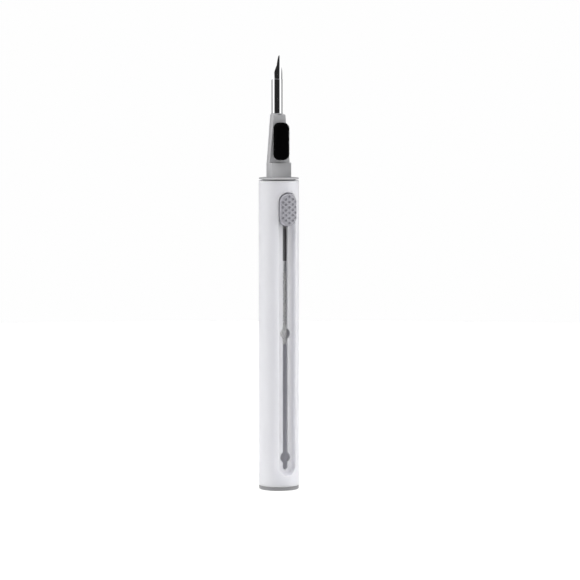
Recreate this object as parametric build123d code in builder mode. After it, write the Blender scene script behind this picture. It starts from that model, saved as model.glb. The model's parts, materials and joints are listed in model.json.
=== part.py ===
"""A slim cleaning pen with a steel nib, a flocked sponge pad and a brush that slides out of its foot.

Millimetres. The origin is the centre of the foot, +Z runs up to the nib, and the front, with the
button, the track and the pad, faces -Y. "Forward" below is the distance in front of the axis:
a sketch on Plane.XZ.offset(h) lies h forward and extrudes forwards.
"""

import os
from math import cos, radians, sin

from build123d import *

# ---- barrel ----
barrel_radius = 6.5
barrel_foot = 1.2
barrel_top = 100.25
barrel_edge = 0.25
bore_radius = 5.45
bore_flat = 3.4  # forward, the flat of the bore under the track

# ---- track and slot in the front of the barrel ----
track_foot = 4.85
track_top = 96.55
track_width = 6.05
track_floor = 4.33  # forward
track_fillet = 0.8
track_rim = 0.12
slot_width = 1.8
slot_foot = 6.6
stop_foot = 10.65  # height of the lowest stop
stop_pitch = 40.15
stop_heights = [stop_foot + stop_pitch * number for number in range(3)]
stop_radius = 1.85
slot_top = stop_heights[-1] + stop_foot - slot_foot

# ---- clearances ----
plug_gap = 0.05  # between a plug and its bore
slide_gap = 0.25  # between the carriage and the bore

# ---- ring at the foot ----
ring_radius = 6.45
ring_edge = 0.25
ring_shoulder = 0.12
ring_plug_height = 2.7
outlet_radius = 3.3
outlet_edge = 0.4

# ---- tip holder ----
holder_plug_height = 3.6
holder_gap = 0.4  # shadow line between the barrel and the disc
disc_radius = 6.45
disc_height = 0.45
disc_edge = 0.12
collar_radius = 4.0
collar_height = 4.85
scoop_radius = 12.0  # of the slanted hollow in the front of the collar
scoop_foot = 1.5  # forward, its deepest line at the disc
scoop_top = 1.15  # forward, its deepest line at its top
collar_edge = 0.25
head_height = 15.55
head_foot_radius = 3.8
head_foot_shift = 0.3  # the head leans back
head_top_radius = 2.43
head_top_shift = 0.72
head_front = 0.55  # forward, the flat that carries the pad
head_edge = 0.3
neck_radius = 1.9
neck_height = 0.35

# ---- nib ----
nib_radius = 1.75
nib_shift = 1.22  # its axis stands this far back
nib_root = 113.0
nib_tang_radius = 1.25  # of the thinner end in the head
nib_shoulder = 132.85
nib_step = 0.06  # the ground end is this much thinner
nib_step_height = 0.03  # of the cone between the two diameters
nib_tip = 140.4
nib_turn = radians(-5)  # the point stands this far round from the front, positive to the right
nib_cut_start = (0.1, 132.6)  # towards the point from the nib's axis, and height
nib_cut_middle = (1.03, 135.3)
nib_cut_end = (1.5, 137.2)
nib_cut_slope = 0.45
nib_blunt = 0.006

# ---- sponge pad ----
pad_width = 5.1
pad_foot = 106.85
pad_height = 11.9
pad_corner = 1.9
film_thickness = 0.12
film_inset = 0.3
plate_thickness = 0.35
plate_inset = 0.12  # the sponge overhangs the plate this much at the sides and the top
plate_tab = 0.25  # the plate shows this much below the sponge
sponge_thickness = 2.05
sponge_edge = 0.45

# ---- slide button ----
button_length = 10.5
button_width = 5.7
button_back = 4.6  # forward
button_front = 7.1  # forward
button_belly = 0.5
button_crown = 14.0
button_edge = 0.35
dimple_radius = 0.5
dimple_depth = 0.44
dimple_row = 1.7
dimple_columns = {0.0: 6, 1.28: 5, 2.3: 4}  # distance from the middle, and number of dimples

# ---- blade of the button, and the snap at its end ----
blade_width = 0.8
blade_length = 4.4
blade_end = 1.2  # forward
blade_gap = 0.05
snap_reach = 0.35
snap_height = 0.8
snap_ledge = 2.1  # forward

# ---- detent spring ----
spring_radius = 1.7
spring_wall = 0.3
spring_front = 4.5  # forward
spring_slit = 1.0
spring_foot_width = 3.8
spring_foot_length = 5.6
spring_foot_corner = 0.5

# ---- carriage ----
carriage_foot = 84.6
carriage_length = 10.0
carriage_edge = 0.4

# ---- brush ----
rod_radius = 2.9
rod_foot = 74.3
tang_radius = 2.0
tang_length = 2.4
spigot_length = 1.1
ferrule_foot = 71.0
ferrule_wall = 0.3
crimp_depth = 0.1
crimp_height = 0.6
resin_height = 0.9
tuft_tip = 47.0
tuft_root_radius = 2.5
tuft_tip_radius = 2.85
tuft_round = 1.2

os.makedirs("parts", exist_ok=True)


def save(piece, name):
    """Label a finished piece and write it."""
    piece.part.label = name
    export_step(piece.part, f"parts/{name}.step")


def keyed_disc(radius, flat):
    """Sketch a disc with a flat on its front."""
    Circle(radius)
    with Locations((0, -flat)):
        Rectangle(2 * radius, 2 * radius, align=(Align.CENTER, Align.MAX), mode=Mode.SUBTRACT)


# The barrel: a tube with a sunken track, a keyed bore, and a slot with three round stops.
with BuildPart() as barrel:
    with BuildSketch(Plane.XY.offset(barrel_foot)):
        Circle(barrel_radius)
    extrude(amount=barrel_top - barrel_foot)
    fillet(barrel.edges().filter_by(GeomType.CIRCLE), barrel_edge)
    track_length = track_top - track_foot
    with BuildSketch(Plane.XZ.offset(track_floor)):
        with Locations((0, track_foot + track_length / 2)):
            SlotOverall(track_length, track_width, rotation=90)
    extrude(amount=barrel_radius, mode=Mode.SUBTRACT)
    fillet(barrel.faces().filter_by(Axis.Y)[0].edges(), track_fillet)
    fillet(barrel.faces().sort_by(SortBy.AREA)[-1].inner_wires()[0].edges(), track_rim)
    with BuildSketch(Plane.XY.offset(barrel_foot)):
        keyed_disc(bore_radius, bore_flat)
    extrude(amount=barrel_top - barrel_foot, mode=Mode.SUBTRACT)
    slot_length = slot_top - slot_foot
    with BuildSketch(Plane.XZ):
        with Locations((0, slot_foot + slot_length / 2)):
            SlotOverall(slot_length, slot_width, rotation=90)
        with Locations([(0, height) for height in stop_heights]):
            Circle(stop_radius)
    extrude(amount=barrel_radius, mode=Mode.SUBTRACT)
save(barrel, "barrel")

# The ring at the foot: a flange, a keyed plug and the outlet for the brush.
with BuildPart() as end_ring:
    with BuildSketch():
        Circle(ring_radius)
    extrude(amount=barrel_foot)
    fillet(end_ring.edges().group_by(Axis.Z)[0], ring_edge)
    fillet(end_ring.edges().group_by(Axis.Z)[-1], ring_shoulder)
    with BuildSketch(Plane.XY.offset(barrel_foot)):
        keyed_disc(bore_radius - plug_gap, bore_flat - plug_gap)
    extrude(amount=ring_plug_height)
    Hole(outlet_radius)
    foot_circles = end_ring.edges().filter_by(GeomType.CIRCLE).group_by(Axis.Z)[0]
    chamfer(foot_circles.sort_by(SortBy.RADIUS)[0], outlet_edge)
save(end_ring, "end_ring")

disc_foot = barrel_top + holder_gap
collar_foot = disc_foot + disc_height
head_foot = collar_foot + collar_height
head_top = head_foot + head_height

# The tip holder: keyed plug, disc, collar with a slanted hollow, and a tapered head with a neck.
with BuildPart() as tip_holder:
    with BuildSketch(Plane.XY.offset(disc_foot)):
        Circle(disc_radius)
    extrude(amount=disc_height)
    fillet(tip_holder.edges().filter_by(GeomType.CIRCLE), disc_edge)
    with BuildSketch(Plane.XY.offset(barrel_top - holder_plug_height)):
        keyed_disc(bore_radius - plug_gap, bore_flat - plug_gap)
    extrude(amount=holder_plug_height + holder_gap)
    with BuildSketch(Plane.XY.offset(collar_foot)):
        Circle(collar_radius)
    extrude(amount=collar_height)
    for height, deepest in ((collar_foot, scoop_foot), (head_foot, scoop_top)):
        with BuildSketch(Plane.XY.offset(height)):
            with Locations((0, -deepest - scoop_radius)):
                Circle(scoop_radius)
    loft(mode=Mode.SUBTRACT)
    fillet(tip_holder.faces().sort_by(Axis.Z)[-1].edges(), collar_edge)
    with BuildSketch(Plane.XY.offset(head_foot)):
        with Locations((0, head_foot_shift)):
            keyed_disc(head_foot_radius, head_front + head_foot_shift)
    with BuildSketch(Plane.XY.offset(head_top)):
        with Locations((0, head_top_shift)):
            keyed_disc(head_top_radius, head_front + head_top_shift)
    loft()
    fillet(tip_holder.faces().sort_by(Axis.Z)[-1].edges(), head_edge)
    with BuildSketch(Plane.XY.offset(head_top)):
        with Locations((0, nib_shift)):
            Circle(neck_radius)
    extrude(amount=neck_height)
    for height, top, radius in ((nib_root, head_top, nib_tang_radius), (head_top, nib_shoulder, nib_radius)):
        with BuildSketch(Plane.XY.offset(height)):
            with Locations((0, nib_shift)):
                Circle(radius)
        extrude(amount=top - height, mode=Mode.SUBTRACT)
save(tip_holder, "tip_holder")

# The nib: a steel rod with a fine conical step, hollow-ground from the back to a point at the front.
tip_direction = (sin(nib_turn), -cos(nib_turn), 0)
cut_plane = Plane(origin=(0, nib_shift, 0), x_dir=tip_direction, z_dir=(-cos(nib_turn), -sin(nib_turn), 0))
with BuildPart() as nib:
    with BuildSketch(Plane.XZ.offset(-nib_shift)):
        with BuildLine():
            tip_radius = nib_radius - nib_step
            Polyline(
                (0, nib_root),
                (nib_tang_radius, nib_root),
                (nib_tang_radius, head_top),
                (nib_radius, head_top),
                (nib_radius, nib_shoulder - nib_step_height),
                (tip_radius, nib_shoulder),
                (tip_radius, nib_tip),
                (0, nib_tip),
                close=True,
            )
        make_face()
    revolve(axis=Axis((0, nib_shift, 0), (0, 0, 1)))
    with BuildSketch(cut_plane):
        with BuildLine():
            low_end = (-2 * nib_radius, nib_cut_start[1] - nib_cut_slope)
            Line(low_end, nib_cut_start)
            ThreePointArc(nib_cut_start, nib_cut_middle, nib_cut_end)
            Polyline(nib_cut_end, (tip_radius - nib_blunt, nib_tip), (-2 * nib_radius, nib_tip), low_end)
        make_face()
    extrude(amount=2 * nib_radius, both=True, mode=Mode.SUBTRACT)
save(nib, "nib")

pad_middle = pad_foot + pad_height / 2
film_front = head_front + film_thickness
plate_front = film_front + plate_thickness
plate_height = pad_height + plate_tab - plate_inset

# The adhesive film, the stiff plate and the sponge, one in front of the other.
with BuildPart() as pad_adhesive:
    with BuildSketch(Plane.XZ.offset(head_front)):
        with Locations((0, pad_middle)):
            RectangleRounded(pad_width - 2 * film_inset, pad_height - 2 * film_inset, pad_corner)
    extrude(amount=film_thickness)
save(pad_adhesive, "pad_adhesive")

with BuildPart() as pad_backing:
    with BuildSketch(Plane.XZ.offset(film_front)):
        with Locations((0, pad_foot - plate_tab + plate_height / 2)):
            RectangleRounded(pad_width - 2 * plate_inset, plate_height, pad_corner)
    extrude(amount=plate_thickness)
save(pad_backing, "pad_backing")

with BuildPart() as flocking_sponge:
    with BuildSketch(Plane.XZ.offset(plate_front)):
        with Locations((0, pad_middle)):
            RectangleRounded(pad_width, pad_height, pad_corner)
    extrude(amount=sponge_thickness)
    fillet(flocking_sponge.faces().sort_by(Axis.Y)[0].edges(), sponge_edge)
save(flocking_sponge, "flocking_sponge")

# The slide button: a dimpled crown in the track, and a blade that goes through the slot.
button_middle = stop_heights[-1]
crown_back = button_front - button_crown
ball_radius = (dimple_radius**2 + dimple_depth**2) / (2 * dimple_depth)
with BuildPart() as slide_button:
    with BuildSketch(Plane.XZ.offset(button_back)):
        with Locations((0, button_middle)):
            SlotOverall(button_length, button_width, rotation=90)
    extrude(amount=button_front - button_back)
    with BuildSketch(Plane.XY.offset(button_middle)):
        with Locations((0, -crown_back)):
            Circle(button_crown)
    extrude(amount=button_length, both=True, mode=Mode.INTERSECT)
    chamfer(slide_button.faces().sort_by(Axis.Y)[-1].edges(), button_belly)
    fillet(slide_button.faces().sort_by(Axis.Y)[0].edges(), button_edge)
    for distance, count in dimple_columns.items():
        crown_front = crown_back + (button_crown**2 - distance**2) ** 0.5
        rows = [(row - (count - 1) / 2) * dimple_row for row in range(count)]
        sides = [0.0] if distance == 0 else [-distance, distance]
        ball_forward = crown_front - dimple_depth + ball_radius
        with Locations([(side, -ball_forward, button_middle + row) for side in sides for row in rows]):
            Sphere(ball_radius, mode=Mode.SUBTRACT)
    with BuildSketch(Plane.XZ.offset(blade_end)):
        with Locations((0, button_middle)):
            Rectangle(blade_width, blade_length)
    extrude(amount=button_back - blade_end)
    with BuildSketch(Plane.XZ.offset(blade_end)):
        with Locations((0, button_middle)):
            Rectangle(blade_width, blade_length + 2 * snap_reach)
    extrude(amount=snap_height)
save(slide_button, "slide_button")

carriage_front = bore_flat - slide_gap
spring_back = carriage_front - spring_wall

# The detent spring: a foot round the blade, and two half-round arms that fill a stop of the slot.
with BuildPart() as detent_spring:
    with BuildSketch(Plane.XZ.offset(spring_back)):
        with Locations((0, button_middle)):
            RectangleRounded(spring_foot_width, spring_foot_length, spring_foot_corner)
            Rectangle(blade_width + 2 * blade_gap, blade_length + 2 * blade_gap, mode=Mode.SUBTRACT)
    extrude(amount=spring_wall)
    with BuildSketch(Plane.XZ.offset(carriage_front)):
        with Locations((0, button_middle)):
            Circle(spring_radius)
            Circle(spring_radius - spring_wall, mode=Mode.SUBTRACT)
            Rectangle(spring_slit, 2 * spring_radius, mode=Mode.SUBTRACT)
    extrude(amount=spring_front - carriage_front)
save(detent_spring, "detent_spring")

# The carriage: a keyed shoe with a pocket for the spring, a window for the snap and a bore for the brush.
with BuildPart() as carriage:
    with BuildSketch(Plane.XY.offset(carriage_foot)):
        keyed_disc(bore_radius - slide_gap, carriage_front)
    extrude(amount=carriage_length)
    chamfer(carriage.edges().group_by(Axis.Z)[0] + carriage.edges().group_by(Axis.Z)[-1], carriage_edge)
    with BuildSketch(Plane.XY.offset(carriage_foot)):
        Circle(tang_radius + plug_gap)
    extrude(amount=tang_length + plug_gap, mode=Mode.SUBTRACT)
    with BuildSketch(Plane.XZ.offset(spring_back)):
        with Locations((0, button_middle)):
            RectangleRounded(
                spring_foot_width + 2 * blade_gap,
                spring_foot_length + 2 * blade_gap,
                spring_foot_corner,
            )
    extrude(amount=spring_wall, mode=Mode.SUBTRACT)
    with BuildSketch(Plane.XZ.offset(snap_ledge)):
        with Locations((0, button_middle)):
            Rectangle(blade_width + 2 * blade_gap, blade_length + 2 * blade_gap)
    extrude(amount=spring_back - snap_ledge, mode=Mode.SUBTRACT)
    with BuildSketch(Plane.XZ.offset(blade_end - blade_gap)):
        with Locations((0, button_middle)):
            Rectangle(blade_width + 2 * blade_gap, blade_length + 2 * (snap_reach + blade_gap))
    extrude(amount=snap_ledge - blade_end + blade_gap, mode=Mode.SUBTRACT)
save(carriage, "carriage")

# The brush holder: a rod with a tang in the carriage and a spigot in the ferrule.
ferrule_bore = rod_radius - ferrule_wall
with BuildPart() as brush_holder:
    with BuildSketch(Plane.XY.offset(rod_foot)):
        Circle(rod_radius)
    extrude(amount=carriage_foot - rod_foot)
    with BuildSketch(Plane.XY.offset(carriage_foot)):
        Circle(tang_radius)
    extrude(amount=tang_length)
    with BuildSketch(Plane.XY.offset(rod_foot)):
        Circle(ferrule_bore - plug_gap)
    extrude(amount=-spigot_length)
save(brush_holder, "brush_holder")

# The ferrule: a thin metal tube with a crimped groove at mid height.
crimp_middle = (ferrule_foot + rod_foot) / 2
with BuildPart() as brush_ferrule:
    with BuildSketch(Plane.XZ):
        with BuildLine():
            crimp_foot = (rod_radius, crimp_middle - crimp_height / 2)
            crimp_top = (rod_radius, crimp_middle + crimp_height / 2)
            Polyline(
                (ferrule_bore, rod_foot),
                (ferrule_bore, ferrule_foot),
                (rod_radius, ferrule_foot),
                crimp_foot,
            )
            ThreePointArc(crimp_foot, (rod_radius - crimp_depth, crimp_middle), crimp_top)
            Polyline(crimp_top, (rod_radius, rod_foot), (ferrule_bore, rod_foot))
        make_face()
    revolve(axis=Axis.Z)
save(brush_ferrule, "brush_ferrule")

# The set resin on the bristle roots, and the tuft of bristles below it.
resin_top = rod_foot - spigot_length
resin_foot = resin_top - resin_height
with BuildPart() as tuft_plug:
    with BuildSketch(Plane.XY.offset(resin_foot)):
        Circle(ferrule_bore - plug_gap)
    extrude(amount=resin_height)
save(tuft_plug, "tuft_plug")

with BuildPart() as bristle_tuft:
    with BuildSketch(Plane.XZ):
        with BuildLine():
            Polyline(
                (0, tuft_tip),
                (0, resin_foot),
                (tuft_root_radius, resin_foot),
                (tuft_root_radius, ferrule_foot),
                (tuft_tip_radius, tuft_tip),
                close=True,
            )
        make_face()
    revolve(axis=Axis.Z)
    fillet(bristle_tuft.edges().group_by(Axis.Z)[0], tuft_round)
save(bristle_tuft, "bristle_tuft")
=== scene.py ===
"""The looks of a slim cleaning pen: moulded ABS, a polished steel nib, a flocked sponge and a nylon brush.

Metres, in the frame of the CAD model: the pen stands on the origin, +Z runs up to the nib and the
front, with the button and the pad, faces -Y.
"""

import json
import math

import bmesh
import bpy
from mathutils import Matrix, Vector


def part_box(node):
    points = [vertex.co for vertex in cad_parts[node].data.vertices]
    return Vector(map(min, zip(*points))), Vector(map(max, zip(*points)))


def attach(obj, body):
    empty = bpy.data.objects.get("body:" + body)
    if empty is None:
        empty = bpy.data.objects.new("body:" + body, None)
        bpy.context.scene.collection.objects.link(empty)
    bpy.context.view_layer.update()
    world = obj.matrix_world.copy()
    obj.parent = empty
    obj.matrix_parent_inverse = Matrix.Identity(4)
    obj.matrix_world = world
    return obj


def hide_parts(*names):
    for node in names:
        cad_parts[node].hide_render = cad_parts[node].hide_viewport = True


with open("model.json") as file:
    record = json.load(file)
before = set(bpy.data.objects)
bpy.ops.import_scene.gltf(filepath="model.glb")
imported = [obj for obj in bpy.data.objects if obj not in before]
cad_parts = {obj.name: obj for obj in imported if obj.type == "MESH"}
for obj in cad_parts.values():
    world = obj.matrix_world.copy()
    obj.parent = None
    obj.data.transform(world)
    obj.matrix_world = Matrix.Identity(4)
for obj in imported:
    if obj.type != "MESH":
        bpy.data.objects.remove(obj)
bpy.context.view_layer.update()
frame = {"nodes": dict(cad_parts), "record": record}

MM = 0.001

# ---- the view ----
view_azimuth = math.radians(-28.5)
view_elevation = math.radians(4.6)
view_distance = 1.0
view_width = 187.7 * MM  # at the pen
sight_height = 64.7 * MM
sight_side = 3.6 * MM
sensor_width = 36.0

# ---- the studio ----
brush_reach = 36 * MM  # the pushed-out brush ends this far under the foot, just clear of the floor
floor_radius = 1.0
studio_peak = 1.5
# How bright the room is, from behind the pen (-1) round past its sides (0) to the camera (1).
studio_levels = [(-1.0, 0.05), (-0.38, 0.05), (-0.28, 1.5), (0.3, 1.5), (0.5, 0.85), (0.64, 0.025)]
overhead_level = 1.1  # the soft box above, on top of the room
overhead_edge = (0.55, 0.8)  # sine of the height where it starts and where it is full

# ---- the brush ----
bristle_count = 480
bristle_radius = 0.12 * MM
bristle_splay = 0.36 * MM
bristle_wave = 0.35 * MM
bristle_root_radius = 2.45 * MM
bristle_root_gap = 0.05 * MM  # the roots start this far under the top of the tuft's space
bristle_shortest = 0.955  # share of the full length
bristle_points = 14  # along each filament
bristle_fan_radius = 2.5 * MM  # a filament at this radius is splayed by the whole of bristle_splay
bristle_fan_power = 0.7  # below 1, the filaments spread early
bristle_drift_scale = 520.0  # noise cells in a metre
bristle_taper_start = 0.75  # share of the length
bristle_tip_share = 0.55  # of the radius

# ---- the sponge ----
flock_length = 0.34 * MM
flock_radius = 0.022 * MM
flock_per_mm2 = 55
flock_lean = 0.45  # radians either way
flock_spin = 6.28
flock_shortest = 0.7  # share of the full length
sponge_crown = 0.28 * MM
sponge_corner = 1.9 * MM
# The pad's rounded edge: millimetres drawn in, and share of the height, from the plate to the front.
sponge_profile = [(0.0, 0.0), (0.0, 0.35), (0.02, 0.6), (0.09, 0.78), (0.22, 0.9), (0.42, 0.97), (0.7, 1.0)]
corner_steps = 8
side_parts = 12
crown_rings = 12


# ---------------------------------------------------------------- small helpers


def linear(code):
    """An sRGB hex colour as linear red, green, blue and alpha."""
    values = [int(code[place:place + 2], 16) / 255 for place in (1, 3, 5)]
    return [v / 12.92 if v <= 0.04045 else ((v + 0.055) / 1.055) ** 2.4 for v in values] + [1.0]


def add(tree, kind, feeds=None, **settings):
    """Adds a node: settings are its properties, feeds its inputs, each a value or the socket linked to it."""
    made = tree.nodes.new(kind)
    for name, value in settings.items():
        setattr(made, name, value)
    for key, value in (feeds or {}).items():
        if isinstance(value, bpy.types.NodeSocket):
            tree.links.new(value, made.inputs[key])
        else:
            made.inputs[key].default_value = value
    return made


def per(size_mm):
    """Noise scale, in cells per metre, of a pattern of that size in millimetres."""
    return 1000.0 / size_mm


def show(mesh, name):
    """Puts a mesh in the scene as an object at the origin."""
    piece = bpy.data.objects.new(name, mesh)
    bpy.context.scene.collection.objects.link(piece)
    return piece


def smooth(piece):
    """Shades every face of the piece smooth."""
    for face in piece.data.polygons:
        face.use_smooth = True


# ---------------------------------------------------------------- materials


def new_material(name):
    """An empty material with its Principled shader and its object coordinates."""
    material = bpy.data.materials.new(name)
    material.use_nodes = True
    tree = material.node_tree
    shader = tree.nodes["Principled BSDF"]
    shader.inputs["Subsurface Radius"].default_value = (1.0, 1.0, 1.0)
    place = tree.nodes.new("ShaderNodeTexCoord").outputs["Object"]
    return material, tree, shader, place


def moulded(name, colour, shade, roughness, grain_mm, grain_depth_mm):
    """Moulded thermoplastic: spark-eroded grain, faint flow shading, and gloss that varies with handling."""
    material, tree, shader, place = new_material(name)
    flow = add(tree, "ShaderNodeTexNoise", {
        "Vector": place, "Scale": per(9), "Detail": 3.0, "Roughness": 0.55,
    })
    tone = add(tree, "ShaderNodeMix", {
        0: flow.outputs["Fac"], 6: linear(colour), 7: linear(shade),
    }, data_type="RGBA")
    tree.links.new(tone.outputs[2], shader.inputs["Base Color"])
    touch = add(tree, "ShaderNodeTexNoise", {
        "Vector": place, "Scale": per(3.5), "Detail": 4.0, "Roughness": 0.6,
    })
    gloss = add(tree, "ShaderNodeMapRange", {
        "Value": touch.outputs["Fac"], "From Min": 0.3, "From Max": 0.7,
        "To Min": roughness * 0.85, "To Max": roughness * 1.15,
    })
    tree.links.new(gloss.outputs["Result"], shader.inputs["Roughness"])
    grain = add(tree, "ShaderNodeTexNoise", {"Vector": place, "Scale": per(grain_mm), "Detail": 2.0})
    bump = add(tree, "ShaderNodeBump", {
        "Height": grain.outputs["Fac"], "Distance": grain_depth_mm * MM, "Strength": 1.0,
    })
    tree.links.new(bump.outputs["Normal"], shader.inputs["Normal"])
    shader.inputs["IOR"].default_value = 1.54
    return material


def white_abs():
    """White ABS, a little cool, satin; a thin wall of it lets some light through."""
    material = moulded("white_abs_satin", "#EAEAEF", "#E6E6EB", 0.4, 0.35, 0.0012)
    shader = material.node_tree.nodes["Principled BSDF"]
    shader.inputs["Subsurface Weight"].default_value = 0.9
    shader.inputs["Subsurface Scale"].default_value = 1.8 * MM
    return material


def grey_abs():
    """Mid-grey ABS with a fine satin grain."""
    return moulded("grey_abs_satin", "#BABABC", "#A9A9AB", 0.36, 0.12, 0.004)


def ring_abs():
    """The darker grey ABS of the ring at the foot, with the same grain."""
    return moulded("dark_grey_abs_satin", "#8F8F91", "#89898B", 0.36, 0.12, 0.004)


def button_abs():
    """The button's slightly cooler grey ABS, satin, with the same grain."""
    return moulded("button_abs_satin", "#ADACB3", "#A7A6AD", 0.38, 0.12, 0.004)


def dark_acetal():
    """Dark grey acetal: slippery, low gloss, with a waxy highlight."""
    return moulded("dark_grey_acetal", "#7A7A7B", "#737374", 0.4, 0.1, 0.002)


def pale_plate():
    """Pale polystyrene sheet, punched, matt."""
    return moulded("polystyrene_plate", "#F6F6F6", "#F2F2F2", 0.5, 0.2, 0.002)


def acrylic_tape():
    """Double-sided acrylic tape: milky and soft."""
    material = moulded("acrylic_tape", "#C9C9C0", "#BFBFB6", 0.6, 0.15, 0.004)
    shader = material.node_tree.nodes["Principled BSDF"]
    shader.inputs["Subsurface Weight"].default_value = 0.3
    shader.inputs["Subsurface Scale"].default_value = 0.2 * MM
    return material


def clear_resin():
    """Amber-clear epoxy that holds the bristle roots."""
    material = moulded("epoxy_resin", "#CDBF9A", "#C2B38C", 0.15, 0.8, 0.004)
    material.node_tree.nodes["Principled BSDF"].inputs["Coat Weight"].default_value = 0.6
    return material


def metal(name, colour, shade, roughness, line_mm, line_depth_mm, stretch):
    """Metal with fine working lines: a noise squeezed by stretch along the lines' length."""
    material, tree, shader, place = new_material(name)
    squeeze = add(tree, "ShaderNodeMapping", {"Vector": place, "Scale": stretch})
    lines = add(tree, "ShaderNodeTexNoise", {
        "Vector": squeeze.outputs["Vector"], "Scale": per(line_mm), "Detail": 3.0, "Roughness": 0.6,
    })
    tone = add(tree, "ShaderNodeMix", {
        0: lines.outputs["Fac"], 6: linear(colour), 7: linear(shade),
    }, data_type="RGBA")
    tree.links.new(tone.outputs[2], shader.inputs["Base Color"])
    gloss = add(tree, "ShaderNodeMapRange", {
        "Value": lines.outputs["Fac"], "From Min": 0.25, "From Max": 0.75,
        "To Min": roughness * 0.8, "To Max": roughness * 1.3,
    })
    tree.links.new(gloss.outputs["Result"], shader.inputs["Roughness"])
    bump = add(tree, "ShaderNodeBump", {"Height": lines.outputs["Fac"], "Distance": line_depth_mm * MM})
    tree.links.new(bump.outputs["Normal"], shader.inputs["Normal"])
    shader.inputs["Metallic"].default_value = 1.0
    return material


def polished_steel():
    """Stainless steel, drawn and buffed: bright, with faint lines along its length."""
    return metal("polished_stainless", "#E6E6E8", "#DEDEE0", 0.07, 0.06, 0.0003, (1.0, 1.0, 0.03))


def spring_steel():
    """Bright spring strip, rolled."""
    return metal("spring_strip_steel", "#A8A9AB", "#9B9C9F", 0.25, 0.05, 0.001, (1.0, 1.0, 0.1))


def drawn_aluminium():
    """Drawn aluminium tube with turned lines round it."""
    return metal("drawn_aluminium", "#E9EAEB", "#DADBDD", 0.5, 0.05, 0.002, (0.08, 0.08, 1.0))


def nylon_filament():
    """Nylon filament: milky, a little see-through, with a soft sheen; some strands darker at random, only
    inside patches of painted shade between clumps.
    """
    material, tree, shader, place = new_material("nylon_filament")
    strand = add(tree, "ShaderNodeAttribute", attribute_name="strand", attribute_type="GEOMETRY")
    # Painted shade: noise patches about 0.6 mm across stand in for the shadows where filaments clump and
    # cross.
    clump_shade_noise = add(tree, "ShaderNodeTexNoise", {"Vector": place, "Scale": per(0.6), "Detail": 1.0})
    painted_clump_shade = add(tree, "ShaderNodeMapRange", {
        "Value": clump_shade_noise.outputs["Fac"], "From Min": 0.4, "From Max": 0.6,
    })
    # Each strand's random tone times the painted shade patches sets how far the filament darkens towards the
    # grey.
    share = add(tree, "ShaderNodeMath", {
        0: strand.outputs["Fac"], 1: painted_clump_shade.outputs["Result"],
    }, operation="MULTIPLY")
    tone = add(tree, "ShaderNodeMix", {
        0: share.outputs["Value"], 6: linear("#FFFFFF"), 7: linear("#CFCFD2"),
    }, data_type="RGBA")
    tree.links.new(tone.outputs[2], shader.inputs["Base Color"])
    shader.inputs["Roughness"].default_value = 0.38
    shader.inputs["IOR"].default_value = 1.53
    shader.inputs["Subsurface Weight"].default_value = 0.3
    shader.inputs["Subsurface Scale"].default_value = 0.2 * MM
    shader.inputs["Sheen Weight"].default_value = 1.0
    return material


def black_flock():
    """Black nylon flock: swallows light, with a faint velvet sheen at grazing angles."""
    material, tree, shader, place = new_material("black_nylon_flock")
    tuft = add(tree, "ShaderNodeTexNoise", {
        "Vector": place, "Scale": per(0.25), "Detail": 4.0, "Roughness": 0.7,
    })
    tone = add(tree, "ShaderNodeMix", {
        0: tuft.outputs["Fac"], 6: linear("#010101"), 7: linear("#070707"),
    }, data_type="RGBA")
    tree.links.new(tone.outputs[2], shader.inputs["Base Color"])
    bump = add(tree, "ShaderNodeBump", {"Height": tuft.outputs["Fac"], "Distance": 0.06 * MM})
    tree.links.new(bump.outputs["Normal"], shader.inputs["Normal"])
    shader.inputs["Roughness"].default_value = 0.95
    shader.inputs["Specular IOR Level"].default_value = 0.03
    shader.inputs["Sheen Weight"].default_value = 0.01
    shader.inputs["Sheen Roughness"].default_value = 0.5
    return material


def seamless_paper():
    """White seamless paper under the pen."""
    material, tree, shader, place = new_material("seamless_paper")
    tooth = add(tree, "ShaderNodeTexNoise", {"Vector": place, "Scale": per(2.0), "Detail": 2.0})
    tone = add(tree, "ShaderNodeMix", {
        0: tooth.outputs["Fac"], 6: linear("#EBEBEB"), 7: linear("#E8E8E8"),
    }, data_type="RGBA")
    tree.links.new(tone.outputs[2], shader.inputs["Base Color"])
    shader.inputs["Roughness"].default_value = 0.9
    shader.inputs["Specular IOR Level"].default_value = 0.1
    return material


finishes = {
    "white_abs": white_abs(),
    "grey_abs": grey_abs(),
    "ring_abs": ring_abs(),
    "button_abs": button_abs(),
    "polished_steel": polished_steel(),
    "spring_steel": spring_steel(),
    "aluminium_ferrule": drawn_aluminium(),
    "dark_acetal": dark_acetal(),
    "clear_resin": clear_resin(),
    "nylon_bristle": nylon_filament(),
    "black_flock": black_flock(),
    "pale_plate": pale_plate(),
    "acrylic_tape": acrylic_tape(),
}

for entry in frame["record"]["subparts"]:
    for socket in frame["nodes"][entry["node"]].material_slots:
        socket.material = finishes[entry["material_slot"]]


# ---------------------------------------------------------------- the brush


def geometry_tree(name, inputs):
    """A geometry node tree with named number inputs; returns it, its inputs by name, and its output node."""
    tree = bpy.data.node_groups.new(name, "GeometryNodeTree")
    tree.interface.new_socket("Geometry", in_out="INPUT", socket_type="NodeSocketGeometry")
    for label in inputs:
        tree.interface.new_socket(label, in_out="INPUT", socket_type="NodeSocketFloat")
    tree.interface.new_socket("Geometry", in_out="OUTPUT", socket_type="NodeSocketGeometry")
    entry = tree.nodes.new("NodeGroupInput")
    return tree, entry.outputs, tree.nodes.new("NodeGroupOutput")


def grow(piece, tree, values):
    """Runs the tree on the piece with these input values, and returns the result as a plain object."""
    modifier = piece.modifiers.new(tree.name, "NODES")
    modifier.node_group = tree
    for item in tree.interface.items_tree:
        if item.in_out == "INPUT" and item.name in values:
            modifier[item.identifier] = values[item.name]
    graph = bpy.context.evaluated_depsgraph_get()
    mesh = bpy.data.meshes.new_from_object(piece.evaluated_get(graph))
    piece.modifiers.remove(modifier)
    return mesh


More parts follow.
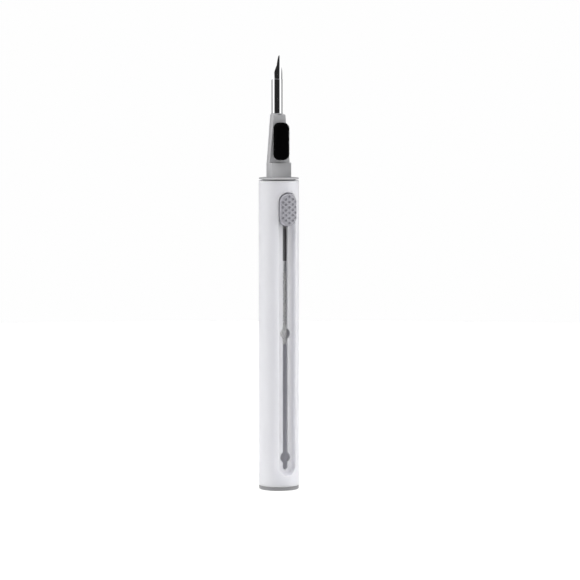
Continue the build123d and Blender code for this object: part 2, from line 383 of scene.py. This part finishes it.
def bristle_tree(material):
    """Straight filaments that start on the piece's faces and run down, fanning out and wandering a little."""
    tree, given, result = geometry_tree("bristle_rows", ["Density", "Length", "Radius", "Splay", "Wave"])
    roots = add(tree, "GeometryNodeDistributePointsOnFaces", {
        "Mesh": given["Geometry"], "Density": given["Density"], "Seed": 7,
    })
    chance = add(tree, "FunctionNodeRandomValue", {2: bristle_shortest, 3: 1.0, "Seed": 3}, data_type="FLOAT")
    cut = add(tree, "ShaderNodeMath", {0: given["Length"], 1: chance.outputs[1]}, operation="MULTIPLY")
    line = add(tree, "GeometryNodeCurvePrimitiveLine", {
        "Direction": (0.0, 0.0, -1.0), "Length": 1.0,
    }, mode="DIRECTION")
    steps = add(tree, "GeometryNodeResampleCurve", {"Curve": line.outputs["Curve"], "Count": bristle_points})
    size = add(tree, "ShaderNodeCombineXYZ", {"X": 1.0, "Y": 1.0, "Z": cut.outputs["Value"]})
    number = add(tree, "FunctionNodeRandomValue", {2: 0.0, 3: 1.0, "Seed": 11}, data_type="FLOAT")
    marked = add(tree, "GeometryNodeStoreNamedAttribute", {
        "Geometry": roots.outputs["Points"], "Name": "strand", "Value": number.outputs[1],
    }, data_type="FLOAT", domain="POINT")
    rows = add(tree, "GeometryNodeInstanceOnPoints", {
        "Points": marked.outputs["Geometry"], "Instance": steps.outputs["Curve"],
        "Scale": size.outputs["Vector"],
    })
    real = add(tree, "GeometryNodeRealizeInstances", {"Geometry": rows.outputs["Instances"]})
    along = add(tree, "GeometryNodeSplineParameter")
    place = add(tree, "GeometryNodeInputPosition")
    flat = add(tree, "ShaderNodeVectorMath", {
        0: place.outputs["Position"], 1: (1.0, 1.0, 0.0),
    }, operation="MULTIPLY")
    outward = add(tree, "ShaderNodeVectorMath", {
        0: flat.outputs["Vector"], "Scale": 1 / bristle_fan_radius,
    }, operation="SCALE")
    rise = add(tree, "ShaderNodeMath", {
        0: along.outputs["Factor"], 1: bristle_fan_power,
    }, operation="POWER")
    reach = add(tree, "ShaderNodeMath", {0: rise.outputs["Value"], 1: given["Splay"]}, operation="MULTIPLY")
    fan = add(tree, "ShaderNodeVectorMath", {
        0: outward.outputs["Vector"], "Scale": reach.outputs["Value"],
    }, operation="SCALE")
    drift = add(tree, "ShaderNodeTexNoise", {
        "Scale": bristle_drift_scale, "Detail": 1.0, "W": given["Wave"],
    }, noise_dimensions="4D")
    centred = add(tree, "ShaderNodeVectorMath", {
        0: drift.outputs["Color"], 1: (-0.5, -0.5, -0.5),
    }, operation="ADD")
    sideways = add(tree, "ShaderNodeVectorMath", {
        0: centred.outputs["Vector"], 1: (2.0, 2.0, 0.0),
    }, operation="MULTIPLY")
    sway = add(tree, "ShaderNodeMath", {0: along.outputs["Factor"], 1: given["Wave"]}, operation="MULTIPLY")
    wander = add(tree, "ShaderNodeVectorMath", {
        0: sideways.outputs["Vector"], "Scale": sway.outputs["Value"],
    }, operation="SCALE")
    shift = add(tree, "ShaderNodeVectorMath", {
        0: fan.outputs["Vector"], 1: wander.outputs["Vector"],
    }, operation="ADD")
    bent = add(tree, "GeometryNodeSetPosition", {
        "Geometry": real.outputs["Geometry"], "Offset": shift.outputs["Vector"],
    })
    taper = add(tree, "ShaderNodeMapRange", {
        "Value": along.outputs["Factor"], "From Min": bristle_taper_start, "From Max": 1.0,
        "To Min": 1.0, "To Max": bristle_tip_share,
    })
    thin = add(tree, "GeometryNodeSetCurveRadius", {
        "Curve": bent.outputs["Geometry"], "Radius": taper.outputs["Result"],
    })
    section = add(tree, "GeometryNodeCurvePrimitiveCircle", {
        "Resolution": 5, "Radius": given["Radius"],
    }, mode="RADIUS")
    tubes = add(tree, "GeometryNodeCurveToMesh", {
        "Curve": thin.outputs["Curve"], "Profile Curve": section.outputs["Curve"], "Fill Caps": True,
    })
    shiny = add(tree, "GeometryNodeSetMaterial", {"Geometry": tubes.outputs["Mesh"], "Material": material})
    done = add(tree, "GeometryNodeRealizeInstances", {"Geometry": shiny.outputs["Geometry"]})
    tree.links.new(done.outputs["Geometry"], result.inputs["Geometry"])
    return tree


def make_bristles():
    """The tuft: hundreds of filaments rooted in the ferrule."""
    low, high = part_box("bristle_tuft")
    root = bmesh.new()
    bmesh.ops.create_circle(root, cap_ends=True, segments=48, radius=bristle_root_radius)
    bmesh.ops.translate(root, verts=root.verts, vec=(0, 0, high[2] - bristle_root_gap))
    disc = bpy.data.meshes.new("bristle_roots")
    root.to_mesh(disc)
    root.free()
    seat = show(disc, "bristle_roots")
    tree = bristle_tree(finishes["nylon_bristle"])
    mesh = grow(seat, tree, {
        "Density": bristle_count / (math.pi * bristle_root_radius**2),
        "Length": high[2] - low[2] - 2 * bristle_root_gap,
        "Radius": bristle_radius,
        "Splay": bristle_splay,
        "Wave": bristle_wave,
    })
    bpy.data.objects.remove(seat)
    brush = show(mesh, "bristles")
    smooth(brush)
    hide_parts("bristle_tuft")
    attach(brush, "slider")


# ---------------------------------------------------------------- the sponge


def pad_outline(middle, half, corner, steps):
    """Points round a rectangle with round corners, in X and Z, the same number on each corner and side."""
    places = []
    for quarter, (side, end) in enumerate(((1, 1), (-1, 1), (-1, -1), (1, -1))):
        for step in range(steps + 1):
            turn = (quarter + step / steps) * math.pi / 2
            places.append(Vector((
                middle.x + side * (half.x - corner) + corner * math.cos(turn),
                middle.z + end * (half.z - corner) + corner * math.sin(turn),
            )))
    points = []
    for number, place in enumerate(places):
        after = places[(number + 1) % len(places)]
        parts = side_parts if number % (steps + 1) == steps else 1
        points += [place.lerp(after, part / parts) for part in range(parts)]
    return points


def make_sponge():
    """The flocked pad: a crowned block with soft edges, under a coat of short fibres."""
    low, high = (Vector(corner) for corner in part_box("flocking_sponge"))
    middle = (low + high) / 2
    half = (high - low) / 2
    depth = high.y - low.y
    form = bmesh.new()
    loops = []
    for inset, rise in sponge_profile:
        drawn_in = Vector((half.x - inset * MM, 0, half.z - inset * MM))
        forward = high.y - rise * (depth - sponge_crown)
        outline = pad_outline(middle, drawn_in, sponge_corner - inset * MM, corner_steps)
        loops.append([form.verts.new((x, forward, z)) for x, z in outline])
    edge = [vertex.co.copy() for vertex in loops[-1]]
    for ring in range(1, crown_rings):
        share = 1 - ring / crown_rings
        rise = sponge_crown * (1 - share**2)
        loops.append([
            form.verts.new((
                middle.x + (start.x - middle.x) * share,
                start.y - rise,
                middle.z + (start.z - middle.z) * share,
            ))
            for start in edge
        ])
    for lower, upper in zip(loops, loops[1:]):
        for number in range(len(lower)):
            form.faces.new((lower[number - 1], lower[number], upper[number], upper[number - 1]))
    centre = form.verts.new((middle.x, low.y, middle.z))
    for number in range(len(edge)):
        form.faces.new((loops[-1][number - 1], loops[-1][number], centre))
    form.faces.new(loops[0])
    bmesh.ops.recalc_face_normals(form, faces=form.faces)
    mesh = bpy.data.meshes.new("flocked_pad")
    form.to_mesh(mesh)
    form.free()
    mesh.materials.append(finishes["black_flock"])
    pad = show(mesh, "flocked_pad")
    smooth(pad)
    return pad


def flock_tree(material):
    """Short fibres standing on the piece's faces, leaning a little at random."""
    tree, given, result = geometry_tree("flock_coat", ["Density", "Length", "Radius"])
    roots = add(tree, "GeometryNodeDistributePointsOnFaces", {
        "Mesh": given["Geometry"], "Density": given["Density"], "Seed": 5,
    })
    fibre = add(tree, "GeometryNodeMeshCone", {
        "Vertices": 3, "Radius Top": 0.0, "Radius Bottom": given["Radius"], "Depth": given["Length"],
    }, fill_type="NGON")
    lean = add(tree, "FunctionNodeRandomValue", {
        0: (-flock_lean, -flock_lean, 0.0), 1: (flock_lean, flock_lean, flock_spin), "Seed": 2,
    }, data_type="FLOAT_VECTOR")
    tilt = add(tree, "FunctionNodeEulerToRotation", {"Euler": lean.outputs[0]})
    stand = add(tree, "FunctionNodeRotateRotation", {
        "Rotation": roots.outputs["Rotation"], "Rotate By": tilt.outputs["Rotation"],
    }, rotation_space="LOCAL")
    length = add(tree, "FunctionNodeRandomValue", {2: flock_shortest, 3: 1.0, "Seed": 9}, data_type="FLOAT")
    coat = add(tree, "GeometryNodeInstanceOnPoints", {
        "Points": roots.outputs["Points"], "Instance": fibre.outputs["Mesh"],
        "Rotation": stand.outputs["Rotation"], "Scale": length.outputs[1],
    })
    real = add(tree, "GeometryNodeRealizeInstances", {"Geometry": coat.outputs["Instances"]})
    dressed = add(tree, "GeometryNodeSetMaterial", {
        "Geometry": real.outputs["Geometry"], "Material": material,
    })
    tree.links.new(dressed.outputs["Geometry"], result.inputs["Geometry"])
    return tree


def make_flock(pad):
    """The coat of fibres on the pad."""
    mesh = grow(pad, flock_tree(finishes["black_flock"]), {
        "Density": flock_per_mm2 / MM**2,
        "Length": flock_length,
        "Radius": flock_radius,
    })
    return show(mesh, "flock_fibres")


make_bristles()
sponge = make_sponge()
flock = make_flock(sponge)
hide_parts("flocking_sponge")
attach(sponge, "barrel")
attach(flock, "barrel")


# ---------------------------------------------------------------- the studio


def lay_floor():
    """A round sheet of white paper, under the reach of the brush."""
    form = bmesh.new()
    bmesh.ops.create_circle(form, cap_ends=True, segments=96, radius=floor_radius)
    bmesh.ops.translate(form, verts=form.verts, vec=(0, 0, -brush_reach))
    mesh = bpy.data.meshes.new("floor")
    form.to_mesh(mesh)
    form.free()
    mesh.materials.append(seamless_paper())
    show(mesh, "floor")


def light_room():
    """A white room, brightest at the pen's sides, dark where the camera stands and dimmer behind."""
    world = bpy.data.worlds.new("studio")
    bpy.context.scene.world = world
    world.use_nodes = True
    tree = world.node_tree
    tree.nodes.clear()
    towards = (math.sin(view_azimuth), -math.cos(view_azimuth), 0.0)
    way = add(tree, "ShaderNodeTexCoord").outputs["Generated"]
    facing = add(tree, "ShaderNodeVectorMath", {0: way, 1: towards}, operation="DOT_PRODUCT")
    share = add(tree, "ShaderNodeMapRange", {"Value": facing.outputs["Value"], "From Min": -1.0})
    ramp = add(tree, "ShaderNodeValToRGB", {"Fac": share.outputs["Result"]})
    stops = ramp.color_ramp.elements
    for place, _ in studio_levels[1:-1]:
        stops.new((place + 1) / 2)
    for stop, (place, level) in zip(stops, studio_levels):
        stop.position = (place + 1) / 2
        stop.color = [level / studio_peak] * 3 + [1.0]
    height = add(tree, "ShaderNodeSeparateXYZ", {"Vector": way})
    above = add(tree, "ShaderNodeMapRange", {
        "Value": height.outputs["Z"], "From Min": overhead_edge[0], "From Max": overhead_edge[1],
        "To Max": overhead_level,
    }, interpolation_type="SMOOTHSTEP")
    round_about = add(tree, "ShaderNodeBackground", {"Color": ramp.outputs["Color"], "Strength": studio_peak})
    overhead = add(tree, "ShaderNodeBackground", {
        "Color": linear("#FFFFFF"), "Strength": above.outputs["Result"],
    })
    studio = add(tree, "ShaderNodeAddShader", {
        0: round_about.outputs["Background"], 1: overhead.outputs["Background"],
    })
    plain = add(tree, "ShaderNodeBackground", {"Color": linear("#FEFEFE"), "Strength": 1.0})
    path = add(tree, "ShaderNodeLightPath")
    both = add(tree, "ShaderNodeMixShader", {
        0: path.outputs["Is Camera Ray"], 1: studio.outputs["Shader"], 2: plain.outputs["Background"],
    })
    add(tree, "ShaderNodeOutputWorld", {"Surface": both.outputs["Shader"]})
    bpy.context.scene.view_settings.view_transform = "Standard"


def place_camera():
    """A long lens at the pen's front left, a little above it."""
    towards = Vector((
        math.sin(view_azimuth) * math.cos(view_elevation),
        -math.cos(view_azimuth) * math.cos(view_elevation),
        math.sin(view_elevation),
    ))
    right = Vector((math.cos(view_azimuth), math.sin(view_azimuth), 0))
    data = bpy.data.cameras.new("camera")
    data.sensor_width = sensor_width
    data.lens = sensor_width * view_distance / view_width
    data.clip_start = 0.05
    data.clip_end = 50.0
    camera = bpy.data.objects.new("camera", data)
    bpy.context.scene.collection.objects.link(camera)
    camera.location = Vector((0, 0, sight_height)) + right * sight_side + towards * view_distance
    camera.rotation_mode = "QUATERNION"
    camera.rotation_quaternion = (-towards).to_track_quat("-Z", "Y")
    bpy.context.scene.camera = camera


lay_floor()
light_room()
place_camera()
